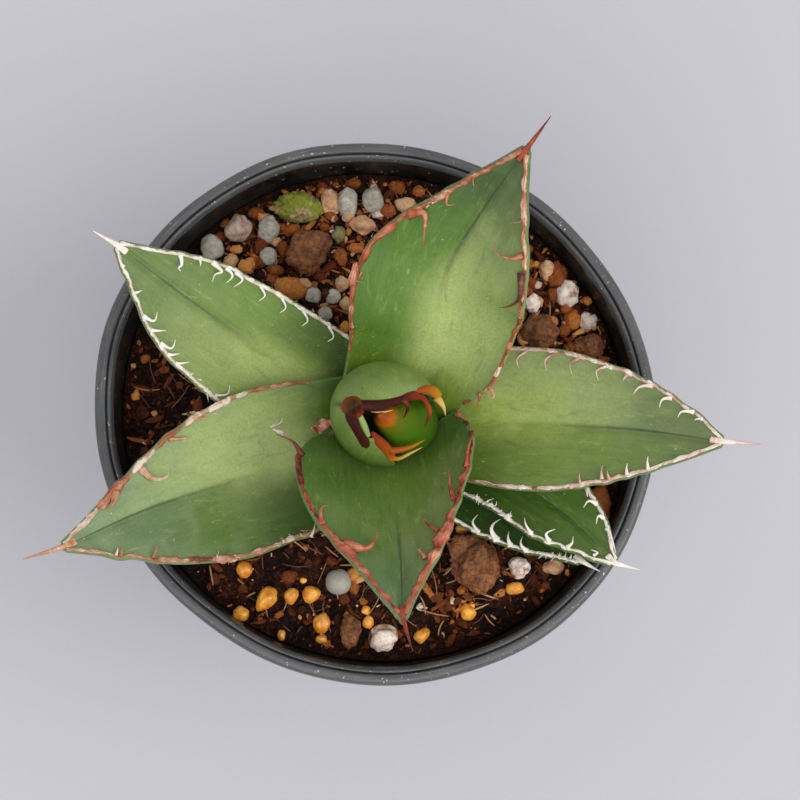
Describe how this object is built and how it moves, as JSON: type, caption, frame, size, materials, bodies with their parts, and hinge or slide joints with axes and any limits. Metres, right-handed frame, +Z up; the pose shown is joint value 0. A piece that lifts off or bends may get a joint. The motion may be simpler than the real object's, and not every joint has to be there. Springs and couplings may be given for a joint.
{
  "type": "potted agave oteroi",
  "caption": "Young agave rosette with toothed fleshy leaves, growing in gritty mix in a round black nursery pot that stands on its flat base.",
  "frame": {"origin": "centre of the pot's flat underside, where it rests", "axes": "+Z up out of the pot, +X to the right of the picture and +Y to its top"},
  "size_m": [0.1277, 0.1012, 0.1401],
  "materials": {
    "pot_plastic": "satin",
    "potting_mix": "matte",
    "stem": "matte",
    "leaf_green": "satin",
    "leaf_dark": "satin",
    "bud_green": "satin",
    "dry_leaf": "matte",
    "pumice": "matte",
    "clay_lump": "matte",
    "perlite": "matte",
    "orange_grain": "satin",
    "tan_pebble": "matte",
    "mossy_stone": "matte"
  },
  "bodies": {
    "root": {"pot": "pot_plastic", "soil": "potting_mix", "stem": "stem", "leaf_north": "leaf_green", "leaf_south": "leaf_green", "leaf_southwest": "leaf_green", "leaf_east": "leaf_green", "leaf_northwest": "leaf_green", "leaf_southeast": "leaf_dark", "leaf_southeast_lower": "leaf_dark", "bud_outer_leaf": "bud_green", "bud_inner_leaf": "bud_green", "dry_flake": "dry_leaf", "pumice_1": "pumice", "pumice_2": "pumice", "pumice_3": "pumice", "pumice_4": "pumice", "pumice_5": "pumice", "pumice_6": "pumice", "pumice_7": "pumice", "pumice_8": "pumice", "grey_bead": "pumice", "stained_pebble": "tan_pebble", "mossy_stone": "mossy_stone", "olive_pebble": "mossy_stone", "tan_pebble_1": "tan_pebble", "tan_pebble_2": "tan_pebble", "tan_pebble_3": "tan_pebble", "tan_pebble_4": "tan_pebble", "clay_lump_1": "clay_lump", "clay_lump_2": "clay_lump", "clay_lump_3": "clay_lump", "clay_lump_4": "clay_lump", "clay_lump_5": "clay_lump", "perlite_1": "perlite", "perlite_2": "perlite", "perlite_3": "perlite", "perlite_4": "perlite", "perlite_5": "perlite", "orange_grain_1": "orange_grain", "orange_grain_2": "orange_grain", "orange_grain_3": "orange_grain", "orange_grain_4": "orange_grain", "orange_grain_5": "orange_grain", "orange_grain_6": "orange_grain"}
  },
  "joints": []
}
